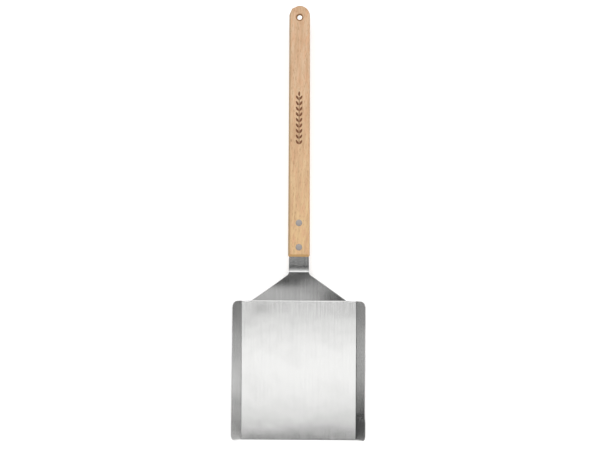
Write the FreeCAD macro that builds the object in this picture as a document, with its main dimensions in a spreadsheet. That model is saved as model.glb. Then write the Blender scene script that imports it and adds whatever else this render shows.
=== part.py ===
import FreeCAD, Part
import math
import os
import Sketcher

# Grill spatula: a one-piece stainless blade, a one-piece beech handle with a saw kerf for the
# tang, and two two-part rivets. Millimetres. The origin is the middle of the flat underside of
# the pan, +Y runs towards the handle and +Z is up, the side that carries the food.

Vector = FreeCAD.Vector
UP = Vector(0, 0, 1)

DIMENSIONS = [
    # blade
    ("sheet_thickness", "1.2"),
    ("pan_length", "157"),
    ("fold_spacing", "130"),
    ("fold_radius", "2.6"),
    ("flange_width", "13.5"),
    ("flange_angle", "45"),
    ("rear_corner_radius", "7"),
    ("front_corner_radius", "4.5"),
    ("bevel_width", "1.3"),
    ("bevel_depth", "0.6"),
    # neck, strap and tang
    ("neck_run", "34"),
    ("neck_rise", "22"),
    ("neck_radius", "4.8"),
    ("foot_width", "107.6"),
    ("foot_radius", "2.5"),
    ("flare_run", "31"),
    ("flare_radius", "5.5"),
    ("strap_width", "22.8"),
    ("strap_length", "17"),
    ("tang_width", "22"),
    ("tang_length", "48"),
    ("tang_radius", "4"),
    # handle
    ("handle_angle", "6"),
    ("handle_length", "275"),
    ("handle_front_width", "24"),
    ("handle_rear_width", "22.6"),
    ("handle_thickness", "16"),
    ("handle_edge_radius", "2.5"),
    ("nose_chamfer", "3"),
    ("side_chamfer", "1.2"),
    ("kerf_depth", "49"),
    ("kerf_width", "1.3"),
    ("hang_hole_inset", "12.5"),
    ("hang_hole_diameter", "5.5"),
    ("hang_hole_countersink", "1.25"),
    # rivets
    ("front_rivet_inset", "11"),
    ("rear_rivet_inset", "38"),
    ("rivet_bore", "4.8"),
    ("rivet_head_diameter", "7"),
    ("rivet_head_thickness", "1.6"),
    ("rivet_head_crown", "0.3"),
    ("rivet_tube_diameter", "4.6"),
    ("rivet_pin_diameter", "3.2"),
    ("rivet_end_gap", "1"),
    # how far the outline of a cut reaches past the material
    ("overcut", "5"),
]

doc = FreeCAD.newDocument("grill_spatula")
dims = doc.addObject("Spreadsheet::Sheet", "dims")
for row, (alias, number) in enumerate(DIMENSIONS, start=1):
    dims.set(f"A{row}", alias.replace("_", " "))
    dims.set(f"B{row}", number)
    dims.setAlias(f"B{row}", alias)
doc.recompute()

# Expressions for places that several pieces share
BEND_Y = "dims.pan_length / 2"
MIDDLE_Z = "dims.sheet_thickness / 2"
HALF_HANDLE = "dims.handle_thickness / 2"


def along_handle(distance):
    """(y, z) of a point on the handle's middle line, counted from the handle's front end."""
    reach = f"(dims.strap_length + {distance})"
    return (
        f"{BEND_Y} + dims.neck_run + {reach} * cos(dims.handle_angle)",
        f"{MIDDLE_Z} + dims.neck_rise + {reach} * sin(dims.handle_angle)",
    )


# ---- sketches ------------------------------------------------------------------------------


def number(expression):
    return float(dims.evalExpression(expression))


def point(corner):
    return Vector(number(corner[0]), number(corner[1]), 0)


def relation(sketch, kind, *references):
    sketch.addConstraint(Sketcher.Constraint(kind, *references))


def dimension(sketch, kind, expression, *references):
    """Adds a dimension driven by an expression on the sheet."""
    index = sketch.addConstraint(
        Sketcher.Constraint(kind, *references, number(expression))
    )
    name = f"{kind.lower()}_{index}"
    sketch.renameConstraint(index, name)
    sketch.setExpression(f"Constraints.{name}", expression)


def place(sketch, curve, end, corner):
    """Ties an end of a curve to a place given by two expressions."""
    for kind, axis, expression in zip(("DistanceX", "DistanceY"), (-2, -1), corner):
        if number(expression) == 0:
            relation(sketch, "PointOnObject", curve, end, axis)
        else:
            dimension(sketch, kind, expression, -1, 1, curve, end)


def circle(sketch, corner, diameter):
    ring = Part.Circle(point(corner), UP, number(diameter) / 2)
    index = sketch.addGeometry(ring)
    dimension(sketch, "Diameter", diameter, index)
    place(sketch, index, 3, corner)


def turn_between(before, after):
    """The signed angle by which a path turns, positive to the left."""
    return math.atan2(before.x * after.y - before.y * after.x, before.dot(after))


def bend_arc(sketch, start, heading, turn, radius, before, after):
    """An arc that leaves the line before at start and runs into the line after, tangent to both."""
    way = 1 if turn > 0 else -1
    inward = Vector(-heading.y, heading.x, 0) * way
    first = math.atan2(-inward.y, -inward.x)
    ring = Part.Circle(start + inward * radius, UP, radius)
    arc = sketch.addGeometry(Part.ArcOfCircle(ring, *sorted((first, first + turn))))
    near, far = (1, 2) if way > 0 else (2, 1)
    relation(sketch, "Tangent", before, 2, arc, near)
    relation(sketch, "Tangent", after, 1, arc, far)
    return arc


def open_chain(sketch, corners):
    """Straight lines through the corners, every corner tied to its place."""
    points = [point(corner) for corner in corners]
    pairs = zip(points, points[1:])
    lines = [sketch.addGeometry(Part.LineSegment(a, b)) for a, b in pairs]
    for line, corner in zip(lines, corners):
        place(sketch, line, 1, corner)
    place(sketch, lines[-1], 2, corners[-1])
    for before, after in zip(lines, lines[1:]):
        relation(sketch, "Coincident", before, 2, after, 1)
    return lines


def closed_outline(sketch, corners):
    """An outline through corners of two expressions, or of three where the corner is rounded:
    the third is then its radius, and the first two are where its two sides would meet."""
    points = [point(corner) for corner in corners]
    ends = points[1:] + points[:1]
    runs = [(b - a).normalize() for a, b in zip(points, ends)]
    turns = [turn_between(runs[i - 1], run) for i, run in enumerate(runs)]
    radii = [number(corner[2]) if len(corner) > 2 else 0 for corner in corners]
    trims = [radius * math.tan(abs(turn) / 2) for radius, turn in zip(radii, turns)]
    next_trims = trims[1:] + trims[:1]
    lines = [
        sketch.addGeometry(Part.LineSegment(a + run * trim, b - run * next_trim))
        for a, b, run, trim, next_trim in zip(points, ends, runs, trims, next_trims)
    ]
    for i, corner in enumerate(corners):
        before, after = lines[i - 1], lines[i]
        if not radii[i]:
            relation(sketch, "Coincident", before, 2, after, 1)
            place(sketch, after, 1, corner)
            continue
        start = points[i] - runs[i - 1] * trims[i]
        arc = bend_arc(sketch, start, runs[i - 1], turns[i], radii[i], before, after)
        dimension(sketch, "Radius", corner[2], arc)
        meeting = sketch.addGeometry(Part.Point(points[i]), True)
        place(sketch, meeting, 1, corner[:2])
        relation(sketch, "PointOnObject", meeting, 1, before)
        relation(sketch, "PointOnObject", meeting, 1, after)


def bent_strip(sketch, corners, radius):
    """The outline of bent sheet seen on edge. The corners are where the straight runs of its
    middle line would meet, and radius is the sheet's name for that line's radius in a bend."""
    half = number("dims.sheet_thickness / 2")
    bend = number(f"dims.{radius}")
    points = [point(corner) for corner in corners]
    runs = [(b - a).normalize() for a, b in zip(points, points[1:])]
    turns = [turn_between(a, b) for a, b in zip(runs, runs[1:])]
    trims = [0.0] + [bend * math.tan(abs(turn) / 2) for turn in turns] + [0.0]
    middle = open_chain(sketch, corners)
    for line in middle:
        sketch.toggleConstruction(line)

    faces = []
    for side in (1, -1):
        offsets = [Vector(-run.y, run.x, 0) * half * side for run in runs]
        lines = []
        for i, run in enumerate(runs):
            start = points[i] + run * trims[i] + offsets[i]
            end = points[i + 1] - run * trims[i + 1] + offsets[i]
            lines.append(sketch.addGeometry(Part.LineSegment(start, end)))
            relation(sketch, "Parallel", lines[i], middle[i])
            dimension(sketch, "Distance", MIDDLE_Z, lines[i], 1, middle[i])
        for i, turn in enumerate(turns):
            start = points[i + 1] - runs[i] * trims[i + 1] + offsets[i]
            inside = side * turn > 0
            face_radius = bend - half if inside else bend + half
            before, after = lines[i], lines[i + 1]
            arc = bend_arc(sketch, start, runs[i], turn, face_radius, before, after)
            sign = "-" if inside else "+"
            dimension(sketch, "Radius", f"dims.{radius} {sign} {MIDDLE_Z}", arc)
        faces.append(lines)

    left, right = faces
    for end, run in ((1, 0), (2, -1)):
        ends = (sketch.getPoint(left[run], end), sketch.getPoint(right[run], end))
        cap = sketch.addGeometry(Part.LineSegment(*ends))
        relation(sketch, "Coincident", left[run], end, cap, 1)
        relation(sketch, "Coincident", right[run], end, cap, 2)
        relation(sketch, "PointOnObject", middle[run], end, cap)
        relation(sketch, "Perpendicular", cap, middle[run])


# ---- bodies and features -------------------------------------------------------------------


def new_body(name):
    body = doc.addObject("PartDesign::Body", name)
    body.Label = name
    return body


def origin_plane(body, role):
    planes = [item for item in body.Origin.OriginFeatures if item.Role == role]
    return (planes[0], [""])


def new_sketch(body, name, plane):
    sketch = body.newObject("Sketcher::SketchObject", name)
    sketch.AttachmentSupport = origin_plane(body, plane)
    sketch.MapMode = "FlatFace"
    return sketch


def put_on_handle(item, path, distance):
    """Binds a placement to a point of the handle's middle line, tilted with the handle."""
    tilt = FreeCAD.Rotation(Vector(1, 0, 0), number("dims.handle_angle"))
    setattr(item, path, FreeCAD.Placement(Vector(), tilt))
    y, z = along_handle(distance)
    item.setExpression(f"{path}.Base.y", y)
    item.setExpression(f"{path}.Base.z", z)
    item.setExpression(f"{path}.Rotation.Angle", "dims.handle_angle")
    doc.recompute()


def pad(body, name, profile, length):
    item = body.newObject("PartDesign::Pad", name)
    item.Profile = profile
    item.Midplane = True
    item.setExpression("Length", length)
    doc.recompute()
    return item


def pocket(body, name, profile, length=None, both_ways=True):
    """Cuts to a length or, with none given, right through."""
    before = body.Shape.Volume
    item = body.newObject("PartDesign::Pocket", name)
    item.Profile = profile
    item.Midplane = both_ways
    if length:
        item.setExpression("Length", length)
    else:
        item.Type = "ThroughAll"
    doc.recompute()
    if body.Shape.Volume > before - 1e-3:
        raise RuntimeError(f"{name} cuts nothing")
    return item


def mirrored(body, name, original, plane):
    item = body.newObject("PartDesign::Mirrored", name)
    item.Originals = [original]
    item.MirrorPlane = origin_plane(body, plane)
    body.Tip = item
    doc.recompute()
    return item


def dress_edges(body, kind, name, base, wanted, sheet_name):
    """A fillet or chamfer on the edges of base for which wanted(edge) is true."""
    numbered = enumerate(base.Shape.Edges, start=1)
    names = [f"Edge{index}" for index, edge in numbered if wanted(edge)]
    item = body.newObject(f"PartDesign::{kind}", name)
    item.Base = (base, names)
    property_name = "Radius" if kind == "Fillet" else "Size"
    item.setExpression(property_name, f"dims.{sheet_name}")
    doc.recompute()
    return item


# ---- blade: pan with two turned-up flanges, neck, strap and tang, all of one sheet ---------


def build_blade():
    body = new_body("blade")

    fold_x = "dims.fold_spacing / 2"
    tip_x = f"{fold_x} + dims.flange_width * cos(dims.flange_angle)"
    tip_z = f"{MIDDLE_Z} + dims.flange_width * sin(dims.flange_angle)"
    section = new_sketch(body, "pan_section", "XZ_Plane")
    left_flange = [(f"-({tip_x})", tip_z), (f"-{fold_x}", MIDDLE_Z)]
    right_flange = [(fold_x, MIDDLE_Z), (tip_x, tip_z)]
    bent_strip(section, left_flange + right_flange, "fold_radius")
    pad(body, "pan", section, "dims.pan_length")

    tang_y, tang_z = along_handle("dims.tang_length")
    profile = new_sketch(body, "neck_profile", "YZ_Plane")
    pan_middle, first_bend = ("0", MIDDLE_Z), (BEND_Y, MIDDLE_Z)
    second_bend = (f"{BEND_Y} + dims.neck_run", f"{MIDDLE_Z} + dims.neck_rise")
    corners = [pan_middle, first_bend, second_bend, (tang_y, tang_z)]
    bent_strip(profile, corners, "neck_radius")
    pad(body, "neck", profile, "dims.foot_width + 2 * dims.overcut")

    trim = new_sketch(body, "neck_trim", "XY_Plane")
    outer_x = "dims.foot_width / 2 + 2 * dims.overcut"
    outer_y = f"{tang_y} + dims.overcut"
    closed_outline(
        trim,
        [
            (outer_x, BEND_Y),
            ("dims.foot_width / 2", BEND_Y, "dims.foot_radius"),
            ("dims.strap_width / 2", f"{BEND_Y} + dims.flare_run", "dims.flare_radius"),
            ("dims.tang_width / 2", along_handle("0")[0]),
            ("dims.tang_width / 2", tang_y, "dims.tang_radius"),
            ("0", tang_y),
            ("0", outer_y),
            (outer_x, outer_y),
        ],
    )
    right_cut = pocket(body, "trim_right", trim)
    last = mirrored(body, "trim_left", right_cut, "YZ_Plane")

    short = 2 * number("dims.sheet_thickness")
    for name, y in (("rear_corner", f"{BEND_Y}"), ("front_corner", f"-{BEND_Y}")):
        corner = Vector(number(tip_x), number(y), number(tip_z))

        def at_corner(edge):
            middle = edge.CenterOfMass
            folded = Vector(abs(middle.x), middle.y, middle.z)
            return edge.Length < short and folded.distanceToPoint(corner) < 0.1

        radius = f"{name}_radius"
        last = dress_edges(body, "Fillet", f"{name}s", last, at_corner, radius)

    bevel = new_sketch(body, "bevel_profile", "YZ_Plane")
    bevel_low = "dims.sheet_thickness - dims.bevel_depth"
    bevel_high = "dims.sheet_thickness + dims.overcut"
    closed_outline(
        bevel,
        [
            (f"-{BEND_Y}", bevel_low),
            (f"dims.bevel_width - {BEND_Y}", "dims.sheet_thickness"),
            (f"dims.bevel_width - {BEND_Y}", bevel_high),
            (f"-{BEND_Y} - dims.overcut", bevel_high),
            (f"-{BEND_Y} - dims.overcut", bevel_low),
        ],
    )
    pocket(body, "front_bevel", bevel, "dims.fold_spacing - dims.fold_radius")

    holes = new_sketch(body, "tang_holes", "XY_Plane")
    put_on_handle(holes, "AttachmentOffset", "0")
    for inset in ("dims.front_rivet_inset", "dims.rear_rivet_inset"):
        circle(holes, ("0", inset), "dims.rivet_bore")
    pocket(body, "tang_bores", holes, "4 * dims.sheet_thickness")
    return body


# ---- handle: one beech batten, kerfed at the front, bored for rivets and for hanging -------


def build_handle():
    body = new_body("handle")
    put_on_handle(body, "Placement", "0")

    outline = new_sketch(body, "outline", "XY_Plane")
    rear_x, front_x = "dims.handle_rear_width / 2", "dims.handle_front_width / 2"
    shoulder = f"dims.handle_length - {rear_x}"
    corners = [
        (f"-{rear_x}", shoulder),
        (f"-{front_x}", "dims.side_chamfer"),
        (f"dims.side_chamfer - {front_x}", "0"),
        (f"{front_x} - dims.side_chamfer", "0"),
        (front_x, "dims.side_chamfer"),
        (rear_x, shoulder),
    ]
    lines = open_chain(outline, corners)
    ring = Part.Circle(point(("0", shoulder)), UP, number(rear_x))
    rear_end = outline.addGeometry(Part.ArcOfCircle(ring, 0, math.pi))
    relation(outline, "Coincident", rear_end, 1, lines[-1], 2)
    relation(outline, "Coincident", rear_end, 2, lines[0], 1)
    dimension(outline, "DistanceY", shoulder, -1, 1, rear_end, 3)
    pad(body, "batten", outline, "dims.handle_thickness")

    nose = new_sketch(body, "nose_profile", "YZ_Plane")
    nose_low = f"{HALF_HANDLE} - dims.nose_chamfer"
    nose_high = f"{HALF_HANDLE} + dims.overcut"
    closed_outline(
        nose,
        [
            ("0", nose_low),
            ("dims.nose_chamfer", HALF_HANDLE),
            ("dims.nose_chamfer", nose_high),
            ("-dims.overcut", nose_high),
            ("-dims.overcut", nose_low),
        ],
    )
    top = pocket(body, "nose_top", nose)
    chamfered = mirrored(body, "nose_bottom", top, "XY_Plane")

    half = number(HALF_HANDLE)
    quarter = number("dims.handle_length") / 4

    def on_broad_face(edge):
        return abs(abs(edge.CenterOfMass.z) - half) < 0.01

    def long_or_rear(edge):
        return on_broad_face(edge) and edge.CenterOfMass.y > quarter

    radius = "handle_edge_radius"
    dress_edges(body, "Fillet", "eased_edges", chamfered, long_or_rear, radius)

    kerf = new_sketch(body, "kerf_profile", "YZ_Plane")
    kerf_z = "dims.kerf_width / 2"
    closed_outline(
        kerf,
        [
            ("-dims.overcut", f"-{kerf_z}"),
            ("dims.kerf_depth", f"-{kerf_z}"),
            ("dims.kerf_depth", kerf_z),
            ("-dims.overcut", kerf_z),
        ],
    )
    pocket(body, "kerf", kerf)

    bores = new_sketch(body, "bores", "XY_Plane")
    hang_y = "dims.handle_length - dims.hang_hole_inset"
    for inset in ("dims.front_rivet_inset", "dims.rear_rivet_inset"):
        circle(bores, ("0", inset), "dims.rivet_bore")
    circle(bores, ("0", hang_y), "dims.hang_hole_diameter")
    drilled = pocket(body, "drilled", bores)

    hang_centre = point(("0", hang_y))

    def rim_of_hang_hole(edge):
        middle = edge.CenterOfMass
        flat = Vector(middle.x, middle.y, 0)
        return on_broad_face(edge) and flat.distanceToPoint(hang_centre) < 0.1

    size = "hang_hole_countersink"
    dress_edges(body, "Chamfer", "countersinks", drilled, rim_of_hang_hole, size)

    seats = new_sketch(body, "seats", "XY_Plane")
    seats.setExpression("AttachmentOffset.Base.z", HALF_HANDLE)
    for inset in ("dims.front_rivet_inset", "dims.rear_rivet_inset"):
        circle(seats, ("0", inset), "dims.rivet_head_diameter")
    top = pocket(body, "seats_top", seats, "dims.rivet_head_thickness", both_ways=False)
    mirrored(body, "seats_bottom", top, "XY_Plane")
    return body


# ---- rivets: a headed pin pressed into a headed tube ---------------------------------------


def build_rivet_half(name, inset, female):
    """A turned piece on the rivet's axis. The tube's head is on top, the pin's head below."""
    body = new_body(name)
    put_on_handle(body, "Placement", inset)
    sketch = new_sketch(body, f"{name}_profile", "XZ_Plane")
    sign = "" if female else "-"
    rim = "dims.rivet_head_diameter / 2"
    tube = "dims.rivet_tube_diameter / 2"
    pin = "dims.rivet_pin_diameter / 2"
    face = f"{sign}{HALF_HANDLE}"
    seat = f"{sign}({HALF_HANDLE} - dims.rivet_head_thickness)"
    crown = f"{sign}({HALF_HANDLE} + dims.rivet_head_crown)"
    reach = f"{HALF_HANDLE} - dims.rivet_head_thickness - dims.rivet_end_gap"
    if female:
        low = f"-({reach})"
        shank = [(tube, seat), (tube, low), (pin, low), (pin, seat), ("0", seat)]
    else:
        shank = [(pin, seat), (pin, reach), ("0", reach)]
    lines = open_chain(sketch, [(rim, face), (rim, seat), *shank, ("0", crown)])

    radius, height = number(rim), number("dims.rivet_head_crown")
    crown_radius = (radius**2 + height**2) / (2 * height)
    spread = math.asin(radius / crown_radius)
    way = 1 if female else -1
    centre = Vector(0, number(crown) - way * crown_radius, 0)
    ball = Part.Circle(centre, UP, crown_radius)
    apex = way * math.pi / 2
    angles = sorted((apex, apex - way * spread))
    arc = sketch.addGeometry(Part.ArcOfCircle(ball, *angles))
    at_rim, at_apex = (1, 2) if female else (2, 1)
    relation(sketch, "Coincident", arc, at_rim, lines[0], 1)
    relation(sketch, "Coincident", arc, at_apex, lines[-1], 2)
    relation(sketch, "PointOnObject", arc, 3, -2)

    turned = body.newObject("PartDesign::Revolution", f"{name}_turned")
    turned.Profile = sketch
    turned.ReferenceAxis = (sketch, ["V_Axis"])
    turned.Angle = 360
    doc.recompute()
    return body


bodies = [build_blade(), build_handle()]
for where in ("front", "rear"):
    inset = f"dims.{where}_rivet_inset"
    bodies.append(build_rivet_half(f"{where}_rivet_female", inset, True))
    bodies.append(build_rivet_half(f"{where}_rivet_male", inset, False))
doc.recompute()

# ---- checks and export ---------------------------------------------------------------------

for item in doc.Objects:
    if {"Invalid", "Error"} & set(item.State):
        raise RuntimeError(f"{item.Name} failed: {item.State}")
for body in bodies:
    shape = body.Shape
    if shape.isNull() or not shape.isValid() or len(shape.Solids) != 1:
        raise RuntimeError(f"{body.Label} isn't one sound solid")
os.makedirs("parts", exist_ok=True)
for body in bodies:
    body.Shape.exportStep(os.path.join("parts", f"{body.Label}.step"))
    print(f"{body.Label}: {body.Shape.Volume:.1f} mm3")
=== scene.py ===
import math
import bmesh
import bpy
from mathutils import Matrix, Vector


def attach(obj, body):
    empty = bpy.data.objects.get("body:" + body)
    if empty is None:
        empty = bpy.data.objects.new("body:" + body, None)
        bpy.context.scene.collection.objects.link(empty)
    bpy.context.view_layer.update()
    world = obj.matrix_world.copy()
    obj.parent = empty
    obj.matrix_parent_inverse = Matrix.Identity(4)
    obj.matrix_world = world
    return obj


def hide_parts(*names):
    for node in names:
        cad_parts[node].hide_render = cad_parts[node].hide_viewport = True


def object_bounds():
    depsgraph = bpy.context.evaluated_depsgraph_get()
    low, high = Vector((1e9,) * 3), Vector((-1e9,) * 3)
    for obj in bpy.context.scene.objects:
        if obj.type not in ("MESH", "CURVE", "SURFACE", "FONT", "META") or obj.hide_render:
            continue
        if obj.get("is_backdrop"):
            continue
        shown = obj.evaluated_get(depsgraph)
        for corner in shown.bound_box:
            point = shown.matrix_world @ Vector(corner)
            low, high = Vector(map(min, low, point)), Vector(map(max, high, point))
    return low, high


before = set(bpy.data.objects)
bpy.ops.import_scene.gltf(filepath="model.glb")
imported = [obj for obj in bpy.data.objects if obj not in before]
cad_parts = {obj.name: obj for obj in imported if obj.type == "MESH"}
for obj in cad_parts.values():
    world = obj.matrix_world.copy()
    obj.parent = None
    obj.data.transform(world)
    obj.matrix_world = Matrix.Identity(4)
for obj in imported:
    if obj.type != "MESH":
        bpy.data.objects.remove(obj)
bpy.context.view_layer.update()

MM = 0.001
scene = bpy.context.scene

# ---- Blade ---------------------------------------------------------------------------------
# One blank of 1.2 mm stainless sheet, brushed along its length before it was cut. The front
# edge is ground to a bevel, and a press brake cranks the neck and folds up the two sides.

sheet = 1.2 * MM
pan_half = 78.5 * MM
rim_round = 0.22 * MM          # deburred edges
fold_at, fold_radius, fold_angle = 65 * MM, 2.6 * MM, math.radians(45)
flange_width = 13.5 * MM
neck_run, neck_rise, neck_radius = 34 * MM, 22 * MM, 4.8 * MM
handle_angle = math.radians(6)
foot_half, strap_half, tang_half = 53.8 * MM, 11.4 * MM, 11 * MM
strap_length, tang_length, flare_run = 17 * MM, 48 * MM, 31 * MM
bevel_width, bevel_depth = 1.2 * MM, 0.65 * MM
left_widens = 1.1 * MM         # the blank is cut slightly crooked: its left front corner stands out
front_corner, left_front_corner, rear_corner = 4.5 * MM, 5.5 * MM, 7 * MM
foot_corner, flare_corner, tang_corner = 2.5 * MM, 6 * MM, 4 * MM

# Where each bend starts on the flat blank, and where the handle's mouth lies
neck_angle = math.atan2(neck_rise, neck_run)
crank_angle = neck_angle - handle_angle
neck_cut = neck_radius * math.tan(neck_angle / 2)
crank_cut = neck_radius * math.tan(crank_angle / 2)
neck_start = pan_half - neck_cut
neck_end = neck_start + neck_radius * neck_angle
crank_start = neck_end + math.hypot(neck_run, neck_rise) - neck_cut - crank_cut
crank_end = crank_start + neck_radius * crank_angle
handle_mouth = crank_end + strap_length - crank_cut
tang_end = handle_mouth + tang_length
flare_at = neck_end - neck_cut + flare_run / math.cos(neck_angle)
fold_cut = fold_radius * math.tan(fold_angle / 2)
fold_start = fold_at - fold_cut
fold_end = fold_start + fold_radius * fold_angle
tip_half = fold_end + flange_width - fold_cut


def rounded_path(corners, steps=10):
    """Points of a path through (x, y, radius) corners, each rounded by an arc."""
    points = []
    for i, (x, y, radius) in enumerate(corners):
        here = Vector((x, y))
        if not radius:
            points.append(here)
            continue
        before = (Vector(corners[i - 1][:2]) - here).normalized()
        after = (Vector(corners[(i + 1) % len(corners)][:2]) - here).normalized()
        half = before.angle(after) / 2
        centre = here + (before + after).normalized() * radius / math.sin(half)
        start = here + before * radius / math.tan(half) - centre
        finish = here + after * radius / math.tan(half) - centre
        turn = math.atan2(start.cross(finish), start.dot(finish))
        for step in range(steps + 1):
            angle = turn * step / steps
            points.append(centre + Vector((
                start.x * math.cos(angle) - start.y * math.sin(angle),
                start.x * math.sin(angle) + start.y * math.cos(angle),
            )))
    return points


def board(outline, thickness):
    """A flat board with this outline, its middle at height 0, as a bmesh."""
    mesh = bmesh.new()
    under = mesh.faces.new([mesh.verts.new((p.x, p.y, -thickness / 2)) for p in outline])
    raised = bmesh.ops.extrude_face_region(mesh, geom=[under])
    top = [item for item in raised["geom"] if isinstance(item, bmesh.types.BMVert)]
    bmesh.ops.translate(mesh, verts=top, vec=(0, 0, thickness))
    bmesh.ops.recalc_face_normals(mesh, faces=mesh.faces)
    return mesh


def slice_band(mesh, start, end, normal, cuts):
    """Divides the mesh by evenly spaced planes from start to end along normal."""
    for i in range(cuts + 1):
        everything = mesh.verts[:] + mesh.edges[:] + mesh.faces[:]
        place = Vector(normal) * (start + (end - start) * i / cuts)
        bmesh.ops.bisect_plane(mesh, geom=everything, plane_co=place, plane_no=normal, dist=1e-7)


# Working the sheet leaves it slightly uneven: the neck bulges by a quarter of a millimetre and
# twists, the pan dips, and its front end rolls down, further in from the edge on the right.
# Near the front the right flange is bent open by four degrees more, and less again at the tip.
# Past the crank the strap sweeps up by an eighth of a millimetre and settles inside the handle.
neck_bulge, neck_twist = 0.25 * MM, 0.013
pan_dip, roll_slope = 0.08 * MM, 0.0075
roll_left, roll_right = 10 * MM, 32 * MM
flange_opens, opens_between = 0.07, (-47 * MM, -59 * MM)
tip_closes, closes_between = 0.6, (-69 * MM, -79 * MM)
strap_sweep, strap_lift, sweeps_to_flat = 6 * MM, 0.125 * MM, 7


def smooth_rise(start, end, value):
    """0 up to start, 1 from end on, and a smooth rise between them."""
    share = min(max((value - start) / (end - start), 0), 1)
    return share ** 2 * (3 - 2 * share)


def unevenness(x, y):
    """How far the worked sheet stands above its nominal surface at a place on the blank."""
    if neck_end < y < crank_start:
        along = (y - neck_end) / (crank_start - neck_end)
        return 4 * along * (1 - along) * (neck_bulge - neck_twist * x)
    past_crank = (y - crank_end) / strap_sweep
    if 0 < past_crank < 1:
        return strap_lift * (1 - (1 - past_crank) ** 2)
    if 1 <= past_crank < sweeps_to_flat:
        return strap_lift * (sweeps_to_flat - past_crank) / (sweeps_to_flat - 1)
    if x > fold_end:
        opened = smooth_rise(*opens_between, y) * (1 - tip_closes * smooth_rise(*closes_between, y))
        return -flange_opens * (x - fold_end) * opened
    if abs(x) > fold_start or y > neck_start:
        return 0
    across, down = x / fold_start, min(abs(y) / pan_half, 1)
    roll = roll_left + (roll_right - roll_left) * (0.5 + 0.5 * math.sin(across * math.pi / 2))
    into_roll = max(roll - (y + pan_half), 0) / roll
    dip = pan_dip * (1 - across ** 2) * (1 - down ** 2)
    return -dip - roll_slope * roll / 2 * into_roll ** 2 * (1 - across ** 8)


blank_edge = rounded_path([
    (tip_half, -pan_half, front_corner),
    (tip_half, pan_half, rear_corner),
    (foot_half, pan_half, foot_corner),
    (strap_half, flare_at, flare_corner),
    (tang_half, handle_mouth, 0),
    (tang_half, tang_end, tang_corner),
    (-tang_half, tang_end, tang_corner),
    (-tang_half, handle_mouth, 0),
    (-strap_half, flare_at, flare_corner),
    (-foot_half, pan_half, foot_corner),
    (-tip_half, pan_half, rear_corner),
    (-tip_half - left_widens, -pan_half, left_front_corner),
])
blank = board(blank_edge, sheet)
rims = [edge for edge in blank.edges if abs(edge.verts[0].co.z - edge.verts[1].co.z) < 1e-9]
bmesh.ops.bevel(blank, geom=rims, offset=rim_round, segments=5, profile=0.5, affect="EDGES")
slice_band(blank, -pan_half + bevel_width, -pan_half + roll_right, (0, 1, 0), 10)
slice_band(blank, -pan_half + roll_right, neck_start, (0, 1, 0), 20)
slice_band(blank, neck_start, neck_end, (0, 1, 0), 10)
slice_band(blank, neck_end, crank_start, (0, 1, 0), 12)
slice_band(blank, crank_start, crank_end, (0, 1, 0), 10)
slice_band(blank, crank_end, crank_end + strap_sweep, (0, 1, 0), 6)
slice_band(blank, crank_end + strap_sweep, crank_end + sweeps_to_flat * strap_sweep, (0, 1, 0), 6)
slice_band(blank, -fold_start, fold_start, (1, 0, 0), 23)
for side in (-1, 1):
    slice_band(blank, fold_start, fold_end, (side, 0, 0), 10)

# The flat blank's own coordinates are kept, so that the brushing follows the sheet round each bend
blank_uv = blank.loops.layers.uv.new("blank")
blank.normal_update()
for face in blank.faces:
    outward = face.normal.xy
    for loop in face.loops:
        loop[blank_uv].uv = loop.vert.co.xy + outward * (sheet / 2 - loop.vert.co.z)
for vertex in blank.verts:
    into = vertex.co.y + pan_half
    if vertex.co.z > 0 and into < bevel_width:
        vertex.co.z -= bevel_depth * (1 - max(into, 0) / bevel_width)
    vertex.co.z += unevenness(vertex.co.x, vertex.co.y)


def add_node(tree, kind, inputs=(), **settings):
    """Adds a node, applies its settings, and sets or links its inputs, in order or by name.

    A node given as an input is linked from its first output."""
    made = tree.nodes.new(kind)
    for name, value in settings.items():
        setattr(made, name, value)
    for key, value in inputs.items() if isinstance(inputs, dict) else enumerate(inputs):
        if isinstance(value, bpy.types.Node):
            value = value.outputs[0]
        if isinstance(value, bpy.types.NodeSocket):
            tree.links.new(value, made.inputs[key])
        else:
            made.inputs[key].default_value = value
    return made


def colour(code):
    """Linear RGBA from an sRGB hex code."""
    channels = [int(code[i:i + 2], 16) / 255 for i in (1, 3, 5)]
    return (*[c / 12.92 if c <= 0.04045 else ((c + 0.055) / 1.055) ** 2.4 for c in channels], 1)


def new_material(name):
    """An empty node material and its surface shader."""
    made = bpy.data.materials.new(name)
    made.use_nodes = True
    made.node_tree.nodes.clear()
    shader = add_node(made.node_tree, "ShaderNodeBsdfPrincipled")
    add_node(made.node_tree, "ShaderNodeOutputMaterial", {"Surface": shader.outputs["BSDF"]})
    return made, made.node_tree, shader


# Stainless steel, satin-brushed: fine lines along the blade spread each highlight across it.
# The real lines are about 0.1 mm apart. They are drawn 0.9 mm apart, so that they show. A darker patch at the
# pan's rear left is painted shade, standing for a dark reflection there, and faint cloudy smears dull the
# shine.
line_pitch, line_length = 0.9 * MM, 60 * MM
# Middle and half sizes of the patch at the pan's rear left that is painted darker: painted shade for a dark
# reflection
painted_shade_at, painted_shade_across, painted_shade_along = (-42 * MM, 70 * MM, 0), 15 * MM, 9 * MM
steel, tree, shader = new_material("brushed_stainless")
shader.inputs["Metallic"].default_value = 1
shader.inputs["Anisotropic"].default_value = 0.9
flat = add_node(tree, "ShaderNodeUVMap", uv_map="blank")
line_scale = (1 / line_pitch, 1 / line_length, 0)
lines = add_node(tree, "ShaderNodeVectorMath", [flat, line_scale], operation="MULTIPLY")
brushing = add_node(tree, "ShaderNodeTexNoise", {
    "Vector": lines, "Scale": 1.0, "Detail": 3.0, "Roughness": 0.7,
}, noise_dimensions="2D").outputs["Fac"]
smudges = add_node(tree, "ShaderNodeTexNoise", {
    "Vector": flat, "Scale": 26.0, "Detail": 2.0, "Roughness": 0.55,
}, noise_dimensions="2D").outputs["Fac"]
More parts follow.
